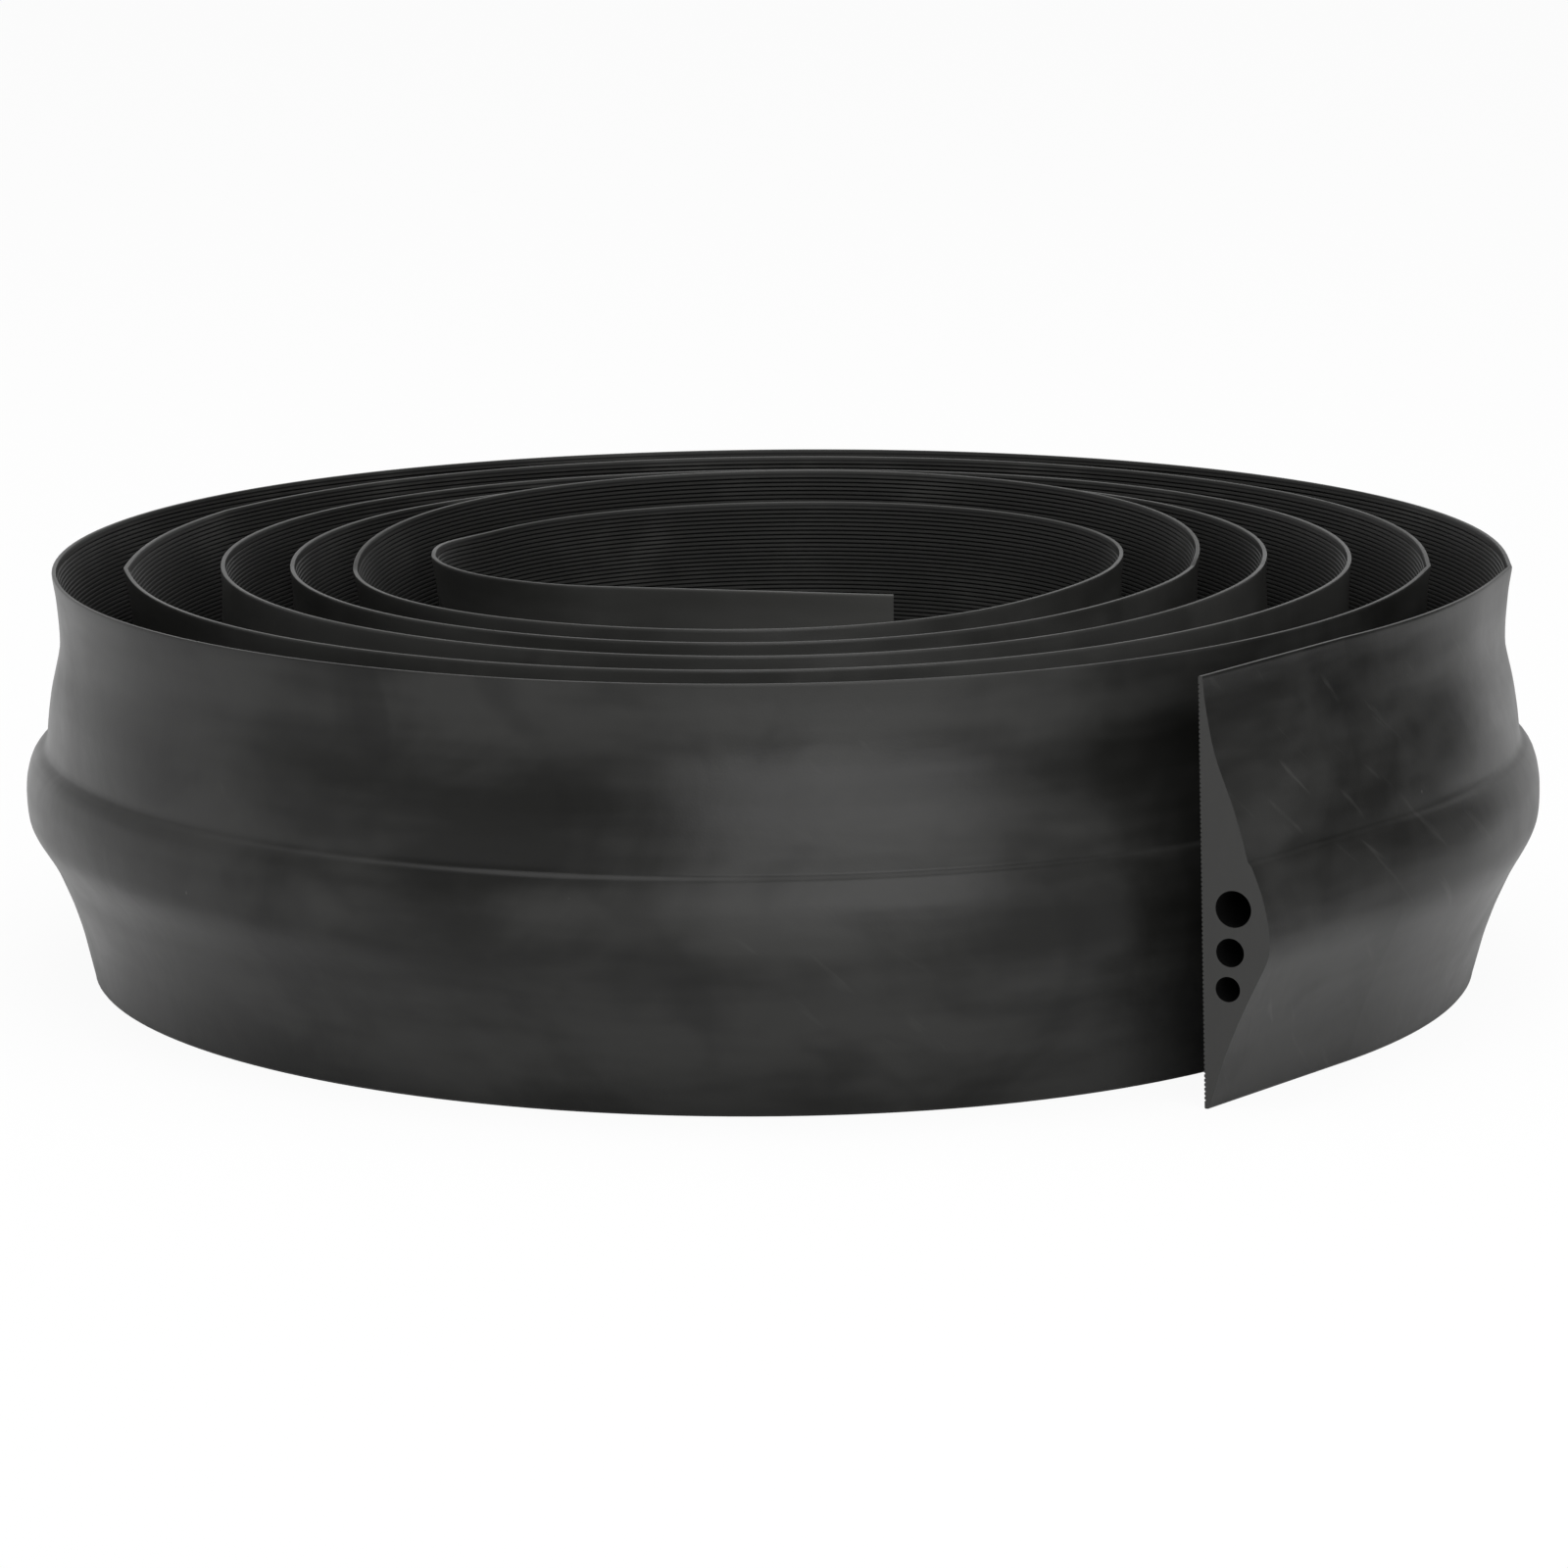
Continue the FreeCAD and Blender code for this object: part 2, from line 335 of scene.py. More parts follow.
def strip_path(roll):
    """The back face's whole path from the outer cut end to the inner one, in lengths.

    Each length is a dict of arrays: x, y, heading, the unwinding angle in degrees, the
    run from the outer cut end, the outward lean of the top edge, its inward tilt, and
    the lift of the tail, which is greatest at the tight bend and ends at the cut.
    The lead is worked out backwards from the spiral's start.
    """
    x0, y0, h0 = (float(v[0]) for v in spiral(roll, np.array([0.0])))
    bend_heading = h0 - roll.free_bend
    start_x = x0 + roll.free_bend_radius * (math.sin(bend_heading) - math.sin(h0))
    start_y = y0 - roll.free_bend_radius * (math.cos(bend_heading) - math.cos(h0))
    cut_x = start_x - roll.free_run * math.cos(bend_heading)
    cut_y = start_y - roll.free_run * math.sin(bend_heading)
    lead_run = roll.free_run + roll.free_bend_radius * roll.free_bend
    lengths = []
    # stations stand closest at the cut
    run = np.concatenate([np.array([0.0, 0.4, 1.2, 2.5, 4.5, 8.0]) * MM,
                          np.linspace(14.0 * MM, roll.free_run, 14)])
    lengths.append(("free_end", straight(cut_x, cut_y, bend_heading, run),
                    np.zeros_like(run)))
    turned = np.linspace(0.0, roll.free_bend, 29)
    lead = bend(start_x, start_y, bend_heading, roll.free_bend_radius, turned)
    for turn in range(TURNS):
        turned_by = LAST_TURN if turn == TURNS - 1 else TURN
        last = TURN * turn + turned_by
        degrees = np.linspace(TURN * turn, last, int(turned_by / STATION_STEP) + 1)
        arc = spiral(roll, degrees)
        if turn == 0:
            arc = tuple(np.concatenate([a[:-1], b]) for a, b in zip(lead, arc))
            degrees = np.concatenate([np.zeros_like(turned[:-1]), degrees])
        if turn == TURNS - 1:
            end = [float(v[-1]) for v in arc]
            turned = np.linspace(0.0, roll.tail_bend, TAIL_STATIONS)[1:]
            tail = bend(*end, roll.tail_bend_radius, turned)
            arc = tuple(np.concatenate([a, b]) for a, b in zip(arc, tail))
            degrees = np.concatenate([degrees, np.full_like(turned, last)])
        lengths.append(("turn_%d" % (turn + 1), arc, degrees))
    end = [float(v[-1]) for v in lengths[-1][1]]
    run = np.linspace(0.0, 1.0, 22) * roll.tail_run
    lengths.append(("inner_end", straight(*end, run), np.full_like(run, last)))
    found = {}
    before = 0.0
    for name, (x, y, heading), degrees in lengths:
        run = before + path_lengths(x, y)
        before = run[-1]
        lean = roll.lean + wave_sum(LEAN_WAVES, np.radians(degrees))[0]
        lean *= np.interp(degrees, TURN / 2.0 * np.arange(len(HALF_TURN_LEANS)),
                          HALF_TURN_LEANS)
        lean *= np.clip((run - roll.free_run) / (lead_run - roll.free_run), 0.0, 1.0)
        tilt = roll.free_tilt * np.clip(1.0 - run / lead_run, 0.0, 1.0)
        found[name] = {"x": x, "y": y, "heading": heading, "degrees": degrees,
                       "run": run, "lean": lean, "tilt": tilt,
                       "lift": np.zeros_like(run)}
    tail_from = found["turn_6"]["run"][-TAIL_STATIONS]
    for name in ("turn_6", "inner_end"):
        past = found[name]["run"] - tail_from
        found[name]["lean"] *= np.clip(
            1.0 - TAIL_FADE * past / (TAIL_FADE_LENGTH * MM), TAIL_KEPT, 1.0)
        rise = np.clip(1.0 + past / (RISE_LENGTH * MM), 0.0, 1.0)
        fall = np.clip(1.0 - past / (before - tail_from), 0.0, 1.0)
        found[name]["lift"] = roll.tail_lift * rise * rise * (3.0 - 2.0 * rise) * fall
    return found


def creases(path):
    """Outward push of the top edge at the old creases, in mm.

    Each is a peak that falls away by the same share over every reach of the strip.
    """
    spots = np.concatenate([part["degrees"] for part in path.values()])
    runs = np.concatenate([part["run"] for part in path.values()])
    pushes = {}
    for name, part in path.items():
        push = np.zeros_like(part["run"])
        for degrees, size, reach in CREASES:
            centre = runs[np.flatnonzero(spots <= degrees)[-1]]
            push += size * np.exp(-np.abs(part["run"] - centre) / (reach * MM))
        pushes[name] = push
    return pushes


def lifts(degrees):
    """Height of the strip above the floor, in mm.

    A sine's half wave, made a little broader, over the back half of each turn, as high
    as that turn's lift.
    """
    turn = np.clip(degrees // TURN, 0, TURNS - 1).astype(int)
    wave = np.clip(np.sin(np.radians(degrees % TURN)), 0.0, None)
    return np.array(TURN_LIFTS)[turn] * wave ** 0.7


def swept(part, push, outline, slant):
    """Grid of points: the outline carried along a length of the path.

    A point is the path's point, plus its height above the back along the outward
    normal, plus the lean there: the lean at the top edge times the lean line's share
    at that depth, less the tilt, which grows evenly from the floor to the top edge. A
    crease pushes the upper flange, most at the top. The leaning edge comes down by a
    share of the square of its lean, and the ledge by a share of the lean. The cut
    stands off square by slant times the height, which fades along the strip.
    """
    depth = WIDTH_MM * (1.0 - outline[:, 1] / outline[:, 1].max())
    share = rounded_line(LEAN_CORNERS, LEAN_ROUNDING, depth)
    fold = np.clip(1.0 - depth / CREASE_DEPTH, 0.0, None) ** 1.6
    lean = part["lean"][:, None] * share[None, :] + push[:, None] * fold[None, :] * MM
    lean -= part["tilt"][:, None] * (1.0 - depth / WIDTH_MM)[None, :]
    height = outline[None, :, 0] + lean
    cos = np.cos(part["heading"])[:, None]
    sin = np.sin(part["heading"])[:, None]
    near = np.clip(1.0 - part["run"] / (CUT_REACH * MM), 0.0, 1.0)[:, None]
    along = slant * near * outline[None, :, 0]
    x = part["x"][:, None] + height * sin + along * cos
    y = part["y"][:, None] - height * cos + along * sin
    dropped = part["lean"] ** 2 / (DROP_LENGTH * MM)
    down = dropped[:, None] * np.clip(1.0 - depth / FLANGE, 0.0, 1.0)[None, :]
    ledge = np.exp(-((depth - LEDGE) / LEDGE_REACH) ** 2)
    down += LEDGE_SAG * part["lean"][:, None] * ledge[None, :]
    raised = part["lift"] + lifts(part["degrees"]) * MM
    return np.stack([x, y, outline[None, :, 1] + raised[:, None] - down], 2)


def tube_outline(bore, count=40):
    """Circle of a bore as (height above the back, z), in metres."""
    diameter, down, depth = bore
    angle = np.linspace(0.0, 2.0 * math.pi, count, endpoint=False)
    return np.stack([depth + diameter / 2.0 * np.cos(angle),
                     WIDTH_MM - down + diameter / 2.0 * np.sin(angle)], 1) * MM


def side_faces(stations, count, first, flip):
    """Quads between neighbouring stations of a closed outline."""
    row = np.arange(stations - 1)[:, None] * count
    point = np.arange(count)[None, :]
    other = (point + 1) % count
    quads = np.stack([row + point, row + other, row + count + other,
                      row + count + point], 2) + first
    quads = quads.reshape(-1, 4)
    return quads[:, ::-1] if flip else quads


def cap_faces(outline, holes, starts, flip):
    """Triangles that close the section at a cut, with its bores left open.

    All are turned the same way round, and flip turns them over for the far end.
    """
    loops = [outline] + holes
    flat = [[Vector((a, b, 0.0)) for a, b in loop] for loop in loops]
    index = np.concatenate([start + np.arange(len(loop))
                            for start, loop in zip(starts, loops)])
    points = np.concatenate(loops)
    found = np.array(tessellate_polygon(flat))
    a, b, c = (points[found[:, k]] for k in range(3))
    turn = (b - a)[:, 0] * (c - a)[:, 1] - (b - a)[:, 1] * (c - a)[:, 0]
    found[turn < 0.0] = found[turn < 0.0][:, ::-1]
    found = index[found]
    return found[:, ::-1] if flip else found


def strip_length(name, bored):
    """Closed mesh of one length of the strip, in place, standing for its CAD node.

    The outline and, at a cut end, the bores are carried along the path, and both ends
    are closed by flat caps. The UV map holds the run along the strip and the distance
    down from the top edge, in metres. The ribs are the last points of the outline.
    """
    section = bpy.context.scene.strip_section
    path = strip_path(bpy.context.scene.strip_roll)
    part = path[name]
    push = creases(path)[name]
    outline = section_outline(section)
    loops = [outline] + ([tube_outline(bore) for bore in BORES] if bored else [])
    slant = CUT_SLANT if name == "free_end" else 0.0
    stations = len(part["run"])
    points, faces, starts, kinds, run_of, down_of = [], [], [], [], [], []
    first = 0
    for loop in loops:
        bore = loop is not outline
        starts.append(first)
        # the point at full height, taken off again, keeps a bore's depths true
        grid = swept(part, push, np.vstack([loop, [0.0, section.width]]), slant)
        points.append(grid[:, :-1].reshape(-1, 3))
        run_of.append(np.repeat(part["run"], len(loop)))
        down_of.append(np.tile(section.width - loop[:, 1], stations))
        faces.append(side_faces(stations, len(loop), first, bore))
        kind = np.full(len(loop), BORE_WALL if bore else RAMP_FACE)
        if not bore:
            kind[-3 * rib_count(section) - 1:] = RIBBED_BACK
        kinds.append(np.tile(kind, stations - 1))
        first += stations * len(loop)
    last = [start + (stations - 1) * len(loop) for start, loop in zip(starts, loops)]
    caps = [cap_faces(outline, loops[1:], starts, False),
            cap_faces(outline, loops[1:], last, True)]
    kinds.append(np.full(sum(len(cap) for cap in caps), CUT_FACE))
    points = np.concatenate(points) + np.array(ROLL_CENTRE)
    polygons = [face for group in faces + caps for face in group.tolist()]
    mesh = bpy.data.meshes.new(name)
    mesh.from_pydata(points.tolist(), [], polygons)
    corners = np.empty(len(mesh.loops), dtype=np.int32)
    mesh.loops.foreach_get("vertex_index", corners)
    spots = np.stack([np.concatenate(run_of), np.concatenate(down_of)], 1)[corners]
    layer = mesh.uv_layers.new(name="strip_map")
    layer.uv.foreach_set("vector", spots.astype(np.float32).ravel())
    mesh.polygons.foreach_set("material_index", np.concatenate(kinds).astype(np.int32))
    for material in rubber_materials():
        mesh.materials.append(material)
    mesh.shade_smooth()
    mesh.set_sharp_from_angle(angle=math.radians(SHARP))
    mesh.update()
    piece = bpy.data.objects.new(name + "_rubber", mesh)
    bpy.context.scene.collection.objects.link(piece)
    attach(piece, "root")
    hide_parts(name)


def add_node(tree, kind, links=None, values=None, **settings):
    """A node with its settings, its plain input values and its incoming links."""
    node = tree.nodes.new(kind)
    for key, value in settings.items():
        setattr(node, key, value)
    for key, value in (values or {}).items():
        node.inputs[key].default_value = value
    for key, (source, output) in (links or {}).items():
        tree.links.new(source.outputs[output], node.inputs[key])
    return node


def new_material(name):
    """An empty node material and its tree."""
    material = bpy.data.materials.new(name)
    material.use_nodes = True
    material.node_tree.nodes.clear()
    return material, material.node_tree


def extruded_rubber():
    """EPDM rubber, extruded and steam-cured: satin black, with a fine grain.

    The bloom of the cure makes cloudy patches a hand wide and smears along the strip.
    Pale scuffs run slantwise, water marks are faintly darker, and there is some dust.
    The inner end and the top of the inner turns are painted paler as painted light.
    """
    look = bpy.context.scene.rubber_look
    material, tree = new_material("extruded_epdm_rubber")
    place = add_node(tree, "ShaderNodeTexCoord")
    strip = add_node(tree, "ShaderNodeUVMap", uv_map="strip_map")
    # cloudy bloom, patches of about 80 mm
    cloud = add_node(tree, "ShaderNodeTexNoise", {"Vector": (place, "Object")},
                     {"Scale": 12.0, "Detail": 4.0, "Roughness": 0.56, "Distortion": 0.4})
    # smears about 150 mm long and 30 mm wide, from sliding through the hands
    smear_map = add_node(tree, "ShaderNodeMapping", {"Vector": (strip, "UV")},
                         {"Scale": (7.0, 34.0, 1.0), "Rotation": (0.0, 0.0, 0.12)})
    smear = add_node(tree, "ShaderNodeTexNoise", {"Vector": (smear_map, "Vector")},
                     {"Scale": 1.0, "Detail": 3.0, "Roughness": 0.55})
    both = add_node(tree, "ShaderNodeMath", {0: (cloud, "Fac"), 1: (smear, "Fac")},
                    operation="ADD")
    patch = add_node(tree, "ShaderNodeMapRange", {"Value": (both, "Value")},
                     {"From Min": 0.75, "From Max": 1.25},
                     interpolation_type="SMOOTHSTEP")
    base = add_node(tree, "ShaderNodeMix", {"Factor": (patch, "Result")},
                    {"A": (*look.rubber, 1.0), "B": (*look.bloom, 1.0)},
                    data_type="RGBA")
    # slanting scuffs: peaks of a noise drawn out to 40 mm by 5 mm, where it is bloomed
    scuff_map = add_node(tree, "ShaderNodeMapping", {"Vector": (strip, "UV")},
                         {"Scale": (0.04, 0.005, 1.0), "Rotation": (0.0, 0.0, 0.75)},
                         vector_type="TEXTURE")
    scuff = add_node(tree, "ShaderNodeTexNoise", {"Vector": (scuff_map, "Vector")},
                     {"Scale": 1.0, "Detail": 2.0, "Distortion": 0.3})
    scratch = add_node(tree, "ShaderNodeMapRange", {"Value": (scuff, "Fac")},
                       {"From Min": 0.64, "From Max": 0.8, "To Max": 0.3})
    rubbed = add_node(tree, "ShaderNodeMapRange", {"Value": (cloud, "Fac")},
                      {"From Min": 0.57, "From Max": 0.7},
                      interpolation_type="SMOOTHSTEP")
    # and all over the outer end, which is handled most (run and depth in metres)
    run = add_node(tree, "ShaderNodeSeparateXYZ", {"Vector": (strip, "UV")})
    outer = add_node(tree, "ShaderNodeMapRange", {"Value": (run, "X")},
                     {"From Min": 0.15, "From Max": 0.4, "To Min": 1.0, "To Max": 0.0})
    worn = add_node(tree, "ShaderNodeMath",
                    {0: (rubbed, "Result"), 1: (outer, "Result")}, operation="MAXIMUM")
    scuffs = add_node(tree, "ShaderNodeMath", {0: (scratch, "Result"),
                                               1: (worn, "Value")}, operation="MULTIPLY")
    # dust specks, a few on each turn, about a millimetre across
    specks = add_node(tree, "ShaderNodeTexVoronoi", {"Vector": (place, "Object")},
                      {"Scale": 30.0, "Randomness": 1.0}, feature="F1")
    speck = add_node(tree, "ShaderNodeMapRange", {"Value": (specks, "Distance")},
                     {"From Min": 0.008, "From Max": 0.022, "To Min": 0.5, "To Max": 0.0})
    marks = add_node(tree, "ShaderNodeMath", {0: (scuffs, "Value"), 1: (speck, "Result")},
                     operation="MAXIMUM")
    # painted light: the last 160 mm to the inner cut are painted paler, most at the cut
    inner_cut = strip_path(bpy.context.scene.strip_roll)["inner_end"]["run"][-1]
    painted_light_inner_end = add_node(tree, "ShaderNodeMapRange", {"Value": (run, "X")},
                    {"From Min": inner_cut - 0.16, "From Max": inner_cut, "To Max": 0.6})
    marks = add_node(tree, "ShaderNodeMath", {0: (marks, "Value"), 1: (painted_light_inner_end, "Result")},
                     operation="MAXIMUM")
    # painted light: the upper 50 mm of the inner turns are painted a little paler
    inside = add_node(tree, "ShaderNodeMapRange", {"Value": (run, "X")},
                      {"From Min": 1.8, "From Max": 2.1, "To Max": 0.16})
    upper = add_node(tree, "ShaderNodeMapRange", {"Value": (run, "Y")},
                     {"From Min": 0.02, "From Max": 0.05, "To Min": 1.0, "To Max": 0.0})
    painted_light_inner_turns = add_node(tree, "ShaderNodeMath", {0: (inside, "Result"),
                                                 1: (upper, "Result")},
                        operation="MULTIPLY")
    marks = add_node(tree, "ShaderNodeMath", {0: (marks, "Value"),
                                              1: (painted_light_inner_turns, "Value")},
                     operation="MAXIMUM")
    # dried water marks: faint darker patches about 60 mm across
    drops = add_node(tree, "ShaderNodeTexNoise", {"Vector": (place, "Object")},
                     {"Scale": 15.0, "Detail": 2.5, "Roughness": 0.5, "Distortion": 0.8})
    stain = add_node(tree, "ShaderNodeMapRange", {"Value": (drops, "Fac")},
                     {"From Min": 0.52, "From Max": 0.68, "To Max": 0.38},
                     interpolation_type="SMOOTHSTEP")
    stained = add_node(tree, "ShaderNodeMix",
                       {"Factor": (stain, "Result"), "A": (base, "Result")},
                       {"B": (*look.groove, 1.0)}, data_type="RGBA")
    # scuffs, dust specks and the painted light of the inner end and inner turns, towards
    # the scuff colour
    marks_and_painted_light = add_node(tree, "ShaderNodeMix",
                      {"Factor": (marks, "Value"), "A": (stained, "Result")},
                      {"B": (*look.scuff, 1.0)}, data_type="RGBA")
    rough = add_node(tree, "ShaderNodeMapRange", {"Value": (both, "Value")},
                     {"From Min": 0.75, "From Max": 1.25, "To Min": look.roughness - 0.05,
                      "To Max": look.roughness + 0.08})
    # cured skin grain, drawn at 0.8 mm because the real 0.1 mm would not show
    grain = add_node(tree, "ShaderNodeTexNoise", {"Vector": (place, "Object")},
                     {"Scale": 1200.0, "Detail": 1.0})
    relief = add_node(tree, "ShaderNodeBump", {"Height": (grain, "Fac")},
                      {"Strength": 0.1, "Distance": 0.0002})
    # the wall is never quite even: shallow waves 30 to 150 mm long
    swell = add_node(tree, "ShaderNodeBump", {"Height": (both, "Value"),
                                              "Normal": (relief, "Normal")},
                     {"Strength": 0.35, "Distance": 0.0015})
    shader = add_node(tree, "ShaderNodeBsdfPrincipled",
                      {"Base Color": (marks_and_painted_light, "Result"), "Roughness": (rough, "Result"),
                       "Normal": (swell, "Normal")},
                      {"IOR": 1.5, "Specular IOR Level": look.sheen})
    add_node(tree, "ShaderNodeOutputMaterial", {"Surface": (shader, "BSDF")})
    return material


def ribbed_rubber():
    """Same rubber on the ribbed back: grooves in painted shade, ribs dusty in patches."""
    look = bpy.context.scene.rubber_look
    section = bpy.context.scene.strip_section
    material, tree = new_material("ribbed_epdm_rubber")
    place = add_node(tree, "ShaderNodeTexCoord")
    strip = add_node(tree, "ShaderNodeUVMap", uv_map="strip_map")
    # rise is 0 in the middle of a groove and 1 on a rib; the grooves get painted shade
    first = (section.width - rib_count(section) * section.rib_pitch) / 2.0
    half = section.rib_pitch / 2.0
    across = add_node(tree, "ShaderNodeSeparateXYZ", {"Vector": (strip, "UV")})
    ribs = add_node(tree, "ShaderNodeMath", {0: (across, "Y")}, {1: first},
                    operation="SUBTRACT")
    ripple = add_node(tree, "ShaderNodeMath", {0: (ribs, "Value")}, {1: half},
                      operation="PINGPONG")
    rise = add_node(tree, "ShaderNodeMapRange", {"Value": (ripple, "Value")},
                    {"From Min": 0.4 * half, "From Max": 0.8 * half, "To Min": 1.0,
                     "To Max": 0.0}, interpolation_type="SMOOTHSTEP")
    # dust in patches of about 70 mm
    cloud = add_node(tree, "ShaderNodeTexNoise", {"Vector": (place, "Object")},
                     {"Scale": 14.0, "Detail": 4.0, "Roughness": 0.6})
    dust = add_node(tree, "ShaderNodeMapRange", {"Value": (cloud, "Fac")},
                    {"From Min": 0.47, "From Max": 0.8, "To Min": 0.12, "To Max": 0.46},
                    interpolation_type="SMOOTHSTEP")
    worn = add_node(tree, "ShaderNodeMix", {"Factor": (dust, "Result")},
                    {"A": (*look.rubber, 1.0), "B": (*look.scuff, 1.0)},
                    data_type="RGBA")
    # painted shade: the grooves are painted near black, the ribs take the dusty rubber
    colour = add_node(tree, "ShaderNodeMix",
                      {"Factor": (rise, "Result"), "B": (worn, "Result")},
                      {"A": (*look.groove, 1.0)}, data_type="RGBA")
    rough = add_node(tree, "ShaderNodeMapRange", {"Value": (cloud, "Fac")},
                     {"To Min": look.roughness, "To Max": look.roughness + 0.2})
    shader = add_node(tree, "ShaderNodeBsdfPrincipled",
                      {"Base Color": (colour, "Result"), "Roughness": (rough, "Result")},
                      {"IOR": 1.5, "Specular IOR Level": 0.9 * look.sheen})
    add_node(tree, "ShaderNodeOutputMaterial", {"Surface": (shader, "BSDF")})
    return material


def cut_rubber():
    """Rubber cut across with a knife: matt and greyer, with fine drag marks."""
    look = bpy.context.scene.rubber_look
    material, tree = new_material("knife_cut_epdm_rubber")
    place = add_node(tree, "ShaderNodeTexCoord")
    # drag marks 3 mm wide and 17 mm high
    marks_map = add_node(tree, "ShaderNodeMapping", {"Vector": (place, "Object")},
                         {"Scale": (300.0, 300.0, 60.0)})
    marks = add_node(tree, "ShaderNodeTexNoise", {"Vector": (marks_map, "Vector")},
                     {"Scale": 1.0, "Detail": 3.0})
    colour = add_node(tree, "ShaderNodeMix", {"Factor": (marks, "Fac")},
                      {"A": (*look.bloom, 1.0), "B": (*look.cut, 1.0)},
                      data_type="RGBA")
    relief = add_node(tree, "ShaderNodeBump", {"Height": (marks, "Fac")},
                      {"Strength": 0.2, "Distance": 0.0004})
    shader = add_node(tree, "ShaderNodeBsdfPrincipled",
                      {"Base Color": (colour, "Result"), "Normal": (relief, "Normal")},
                      {"Roughness": 0.8, "IOR": 1.5})
    add_node(tree, "ShaderNodeOutputMaterial", {"Surface": (shader, "BSDF")})
    return material


def bore_painted_shade():
    """The skin inside the bores: dull, and painted deep black as their shade."""
    look = bpy.context.scene.rubber_look
    material, tree = new_material("bore_wall_painted_shade")
    shader = add_node(tree, "ShaderNodeBsdfPrincipled",
                      values={"Base Color": (*look.groove, 1.0), "Roughness": 0.9,
                              "IOR": 1.5, "Specular IOR Level": 0.05})
    add_node(tree, "ShaderNodeOutputMaterial", {"Surface": (shader, "BSDF")})
    return material


def rubber_materials():
    """The strip's finishes: ramp face and edges, ribbed back, cut faces, bores."""
    names = ("extruded_epdm_rubber", "ribbed_epdm_rubber", "knife_cut_epdm_rubber",
             "bore_wall_painted_shade")
    makers = (extruded_rubber, ribbed_rubber, cut_rubber, bore_painted_shade)
    return [bpy.data.materials.get(name) or make() for name, make in zip(names, makers)]


class STRIP_OT_free_end(bpy.types.Operator):
    """Build the straight outer cut end with its open bores"""

    bl_idname = "strip.free_end"
    bl_label = "Free end"

    def execute(self, context):
        strip_length("free_end", bored=True)
        return {"FINISHED"}


class STRIP_OT_turns(bpy.types.Operator):
    """Build the six rolled turns"""

    bl_idname = "strip.turns"
    bl_label = "Turns"

    def execute(self, context):
        for turn in range(TURNS):
            strip_length("turn_%d" % (turn + 1), bored=False)
        return {"FINISHED"}


class STRIP_OT_inner_end(bpy.types.Operator):
    """Build the straight inner cut end inside the roll"""

    bl_idname = "strip.inner_end"
    bl_label = "Inner end"

    def execute(self, context):
        strip_length("inner_end", bored=True)
        return {"FINISHED"}


def add_lamp(name, place, aim, size, power):
    """A soft white rectangular lamp that faces a point, in metres and watts."""
    data = bpy.data.lights.new(name, "AREA")
    data.shape = "RECTANGLE"
    data.size, data.size_y = size
    data.energy = power
    lamp = bpy.data.objects.new(name, data)
    lamp.location = place
    way = Vector(aim) - Vector(place)
    lamp.rotation_euler = way.to_track_quat("-Z", "Y").to_euler()
    lamp.visible_camera = False
    bpy.context.scene.collection.objects.link(lamp)
    return lamp


def studio_floor():
    """A plain pale disc; the camera sees it lifted to white, and it keeps the shadow."""
    radius, sides, below = 9.0, 96, 0.2 * MM
    angle = np.linspace(0.0, 2.0 * math.pi, sides, endpoint=False)
    rim = np.stack([radius * np.cos(angle), radius * np.sin(angle),
                    np.full(sides, -below)], 1)
    mesh = bpy.data.meshes.new("studio_floor")
    mesh.from_pydata(rim.tolist(), [], [list(range(sides))])
    material, tree = new_material("matt_white_floor")
    path = add_node(tree, "ShaderNodeLightPath")
    # in reflections the floor stays dark in the narrow gaps of the roll
    open_floor = add_node(tree, "ShaderNodeAmbientOcclusion", values={"Distance": 0.2},
                          samples=4)
    mirrored = add_node(tree, "ShaderNodeMath", {0: (path, "Is Glossy Ray"),
                                                 1: (open_floor, "AO")},
                        operation="MULTIPLY")
    seen = add_node(tree, "ShaderNodeMath", {0: (path, "Is Camera Ray"),
                                             1: (mirrored, "Value")},
                    operation="MAXIMUM")
    seen_all = add_node(tree, "ShaderNodeMath", {0: (seen, "Value"),
                                                 1: (path, "Is Transmission Ray")},
                        operation="MAXIMUM")
    # the last 6 % stay paint, which takes the shadow
    share = add_node(tree, "ShaderNodeMath", {0: (seen_all, "Value")}, {1: 0.94},
                     operation="MULTIPLY")
    paint = add_node(tree, "ShaderNodeBsdfDiffuse",
                     values={"Color": (*linear("#dcdcdc"), 1.0)})
    white = add_node(tree, "ShaderNodeEmission", values={"Strength": 1.0})
    mixed = add_node(tree, "ShaderNodeMixShader", {0: (share, "Value"),
                                                   1: (paint, "BSDF"),
                                                   2: (white, "Emission")})
    add_node(tree, "ShaderNodeOutputMaterial", {"Surface": (mixed, "Shader")})
    mesh.materials.append(material)
    floor = bpy.data.objects.new("studio_floor", mesh)
    bpy.context.scene.collection.objects.link(floor)
    return floor


def studio_flag():
    """A black card at the right that only reflections see, as photographers set it up.

    It faces the roll and keeps the flange of the cut end dark.
    """
    side = math.radians(21.0)
    away, half_width, height = 1.5, 0.56, 1.2
    across = Vector((-math.sin(side), math.cos(side), 0.0))
    middle = Vector((away * math.cos(side), away * math.sin(side), 0.0))
    up = Vector((0.0, 0.0, height))
    rim = [middle - across * half_width, middle + across * half_width]
    rim += [rim[1] + up, rim[0] + up]
    mesh = bpy.data.meshes.new("studio_flag")
    mesh.from_pydata([tuple(corner) for corner in rim], [], [(0, 1, 2, 3)])
    material, tree = new_material("black_flag_cloth")
    cloth = add_node(tree, "ShaderNodeBsdfDiffuse",
                     values={"Color": (*linear("#0c0c0c"), 1.0)})
    add_node(tree, "ShaderNodeOutputMaterial", {"Surface": (cloth, "BSDF")})
    mesh.materials.append(material)
    flag = bpy.data.objects.new("studio_flag", mesh)
    flag.visible_camera = flag.visible_diffuse = flag.visible_shadow = False
    flag.visible_transmission = False
    bpy.context.scene.collection.objects.link(flag)
    return flag


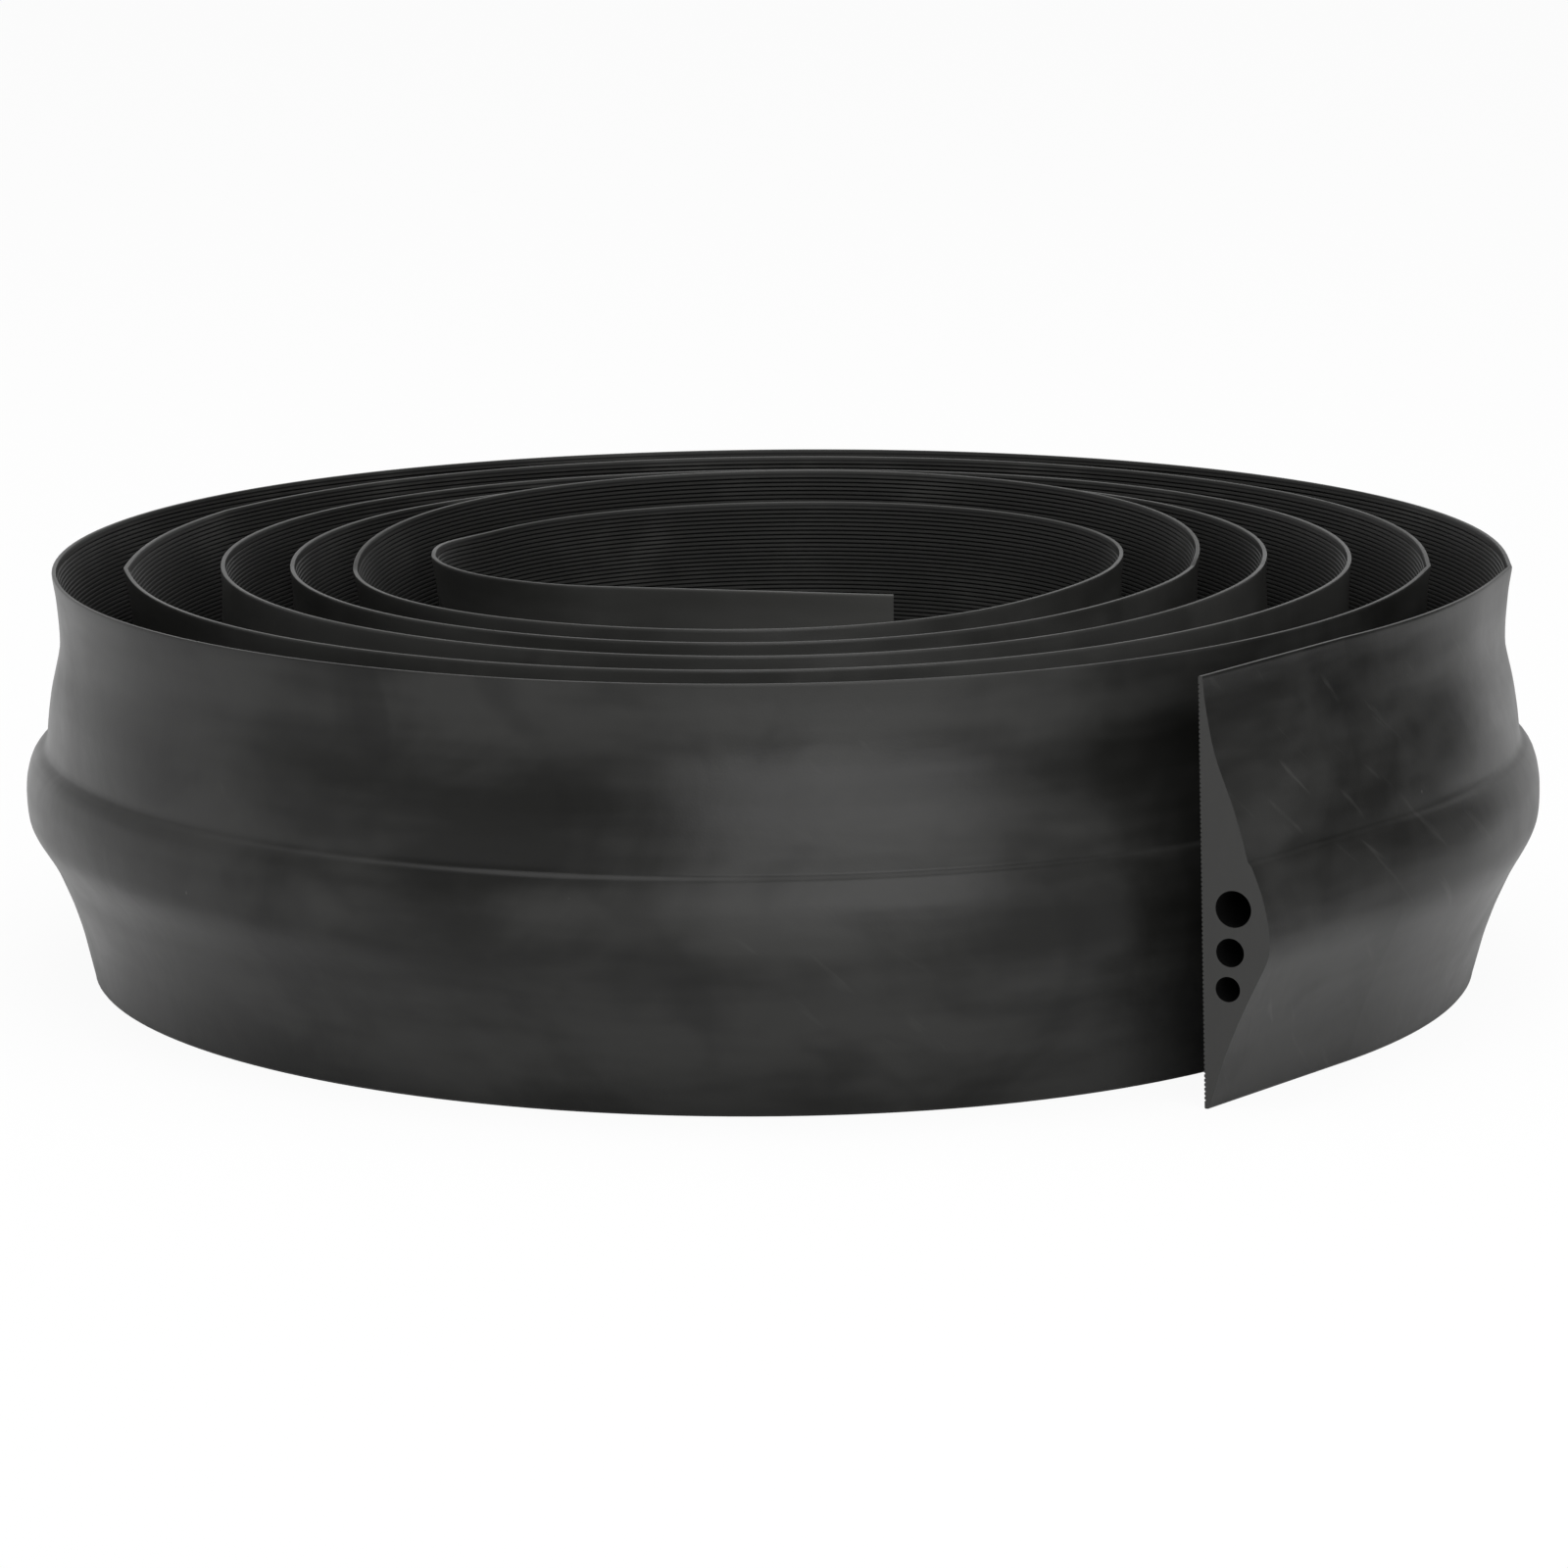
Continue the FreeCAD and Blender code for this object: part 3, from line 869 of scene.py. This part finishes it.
def studio_world(strength):
    """Even light from all round, and a white backdrop that the camera sees.

    Glossy rays see the backdrop too, and the dimmer room above it.
    """
    world = bpy.data.worlds.new("studio_world")
    bpy.context.scene.world = world
    world.use_nodes = True
    tree = world.node_tree
    tree.nodes.clear()
    path = add_node(tree, "ShaderNodeLightPath")
    seen = add_node(tree, "ShaderNodeMath", {0: (path, "Is Camera Ray"),
                                             1: (path, "Is Glossy Ray")},
                    operation="MAXIMUM")
    seen_all = add_node(tree, "ShaderNodeMath", {0: (seen, "Value"),
                                                 1: (path, "Is Transmission Ray")},
                        operation="MAXIMUM")
    plain = (1.0, 1.0, 1.0, 1.0)
    soft = add_node(tree, "ShaderNodeBackground",
                    values={"Color": plain, "Strength": strength})
    # the white backdrop stands round the table; overhead the room is dimmer
    way = add_node(tree, "ShaderNodeTexCoord")
    height = add_node(tree, "ShaderNodeSeparateXYZ", {"Vector": (way, "Generated")})
    backdrop = add_node(tree, "ShaderNodeMapRange", {"Value": (height, "Z")},
                        {"From Min": 0.1, "From Max": 0.4, "To Min": 1.0, "To Max": 0.35})
    level = add_node(tree, "ShaderNodeMath", {0: (path, "Is Camera Ray"),
                                              1: (backdrop, "Result")},
                     operation="MAXIMUM")
    white = add_node(tree, "ShaderNodeBackground", {"Strength": (level, "Value")},
                     {"Color": plain})
    mixed = add_node(tree, "ShaderNodeMixShader", {0: (seen_all, "Value"),
                                                   1: (soft, "Background"),
                                                   2: (white, "Background")})
    add_node(tree, "ShaderNodeOutputWorld", {"Surface": (mixed, "Shader")})


def add_camera():
    """The photograph's view: from the front, 10.4 degrees down, 4.08 m away.

    Lens and image are measured in the photograph's pixels. The roll's centre at half
    height is 3 of them left of and 16 above the image's middle.
    """
    elevation = math.radians(10.4)
    distance = 4.078
    image, lens, left, above = 1600.0, 11500.0, 3.0, 16.3
    centre = Vector(ROLL_CENTRE) + Vector((0.0, 0.0, WIDTH_MM / 2.0 * MM))
    back = Vector((0.0, -math.cos(elevation), math.sin(elevation)))
    up = Vector((0.0, math.sin(elevation), math.cos(elevation)))
    right = Vector((1.0, 0.0, 0.0))
    pixel = distance / lens
    place = centre + back * distance
    aim = centre + right * left * pixel - up * above * pixel
    data = bpy.data.cameras.new("camera")
    data.sensor_width = 36.0
    data.lens = data.sensor_width * lens / image
    data.clip_start = 0.1
    data.clip_end = 50.0
    camera = bpy.data.objects.new("camera", data)
    camera.location = place
    camera.rotation_euler = (aim - place).to_track_quat("-Z", "Y").to_euler()
    bpy.context.scene.collection.objects.link(camera)
    bpy.context.scene.camera = camera


class STRIP_OT_studio(bpy.types.Operator):
    """Set up the floor, the light and the camera"""

    bl_idname = "strip.studio"
    bl_label = "Studio"

    def execute(self, context):
        look = context.scene.studio_look
        context.scene.view_settings.view_transform = "Standard"
        studio_world(look.world)
        floor = studio_floor()
        top = add_lamp("lamp_top", (0.0, 0.0, 2.0), (0.0, 0.0, 0.0), (2.5, 2.5), look.top)
        front = add_lamp("lamp_front", (0.7, -2.2, 1.15), (0.0, -0.2, 0.1), (2.3, 0.7),
                         look.front)
        studio_flag()
        add_camera()
        return {"FINISHED"}


class STRIP_PT_panel(bpy.types.Panel):
    """Sizes, colours and build buttons"""

    bl_label = "Ramp Strip"
    bl_space_type = "VIEW_3D"
    bl_region_type = "UI"
    bl_category = "Ramp Strip"

    def draw(self, context):
        layout = self.layout
        for group in (context.scene.strip_section, context.scene.strip_roll,
                      context.scene.rubber_look, context.scene.studio_look):
            box = layout.box()
            for key in group.__annotations__:
                box.prop(group, key)
        for name in ("free_end", "turns", "inner_end", "studio"):
            layout.operator("strip." + name)


CLASSES = (
    StripSection, StripRoll, RubberLook, StudioLook, STRIP_OT_free_end, STRIP_OT_turns,
    STRIP_OT_inner_end, STRIP_OT_studio, STRIP_PT_panel,
)


def register():
    """Register the classes and the scene's settings."""
    for cls in CLASSES:
        bpy.utils.register_class(cls)
    bpy.types.Scene.strip_section = PointerProperty(type=StripSection)
    bpy.types.Scene.strip_roll = PointerProperty(type=StripRoll)
    bpy.types.Scene.rubber_look = PointerProperty(type=RubberLook)
    bpy.types.Scene.studio_look = PointerProperty(type=StudioLook)


def unregister():
    """Take the settings and the classes away again."""
    for name in ("strip_section", "strip_roll", "rubber_look", "studio_look"):
        delattr(bpy.types.Scene, name)
    for cls in reversed(CLASSES):
        bpy.utils.unregister_class(cls)


def main():
    """Build the strip and the studio."""
    register()
    bpy.ops.strip.free_end()
    bpy.ops.strip.turns()
    bpy.ops.strip.inner_end()
    bpy.ops.strip.studio()


if __name__ == "__main__":
    main()
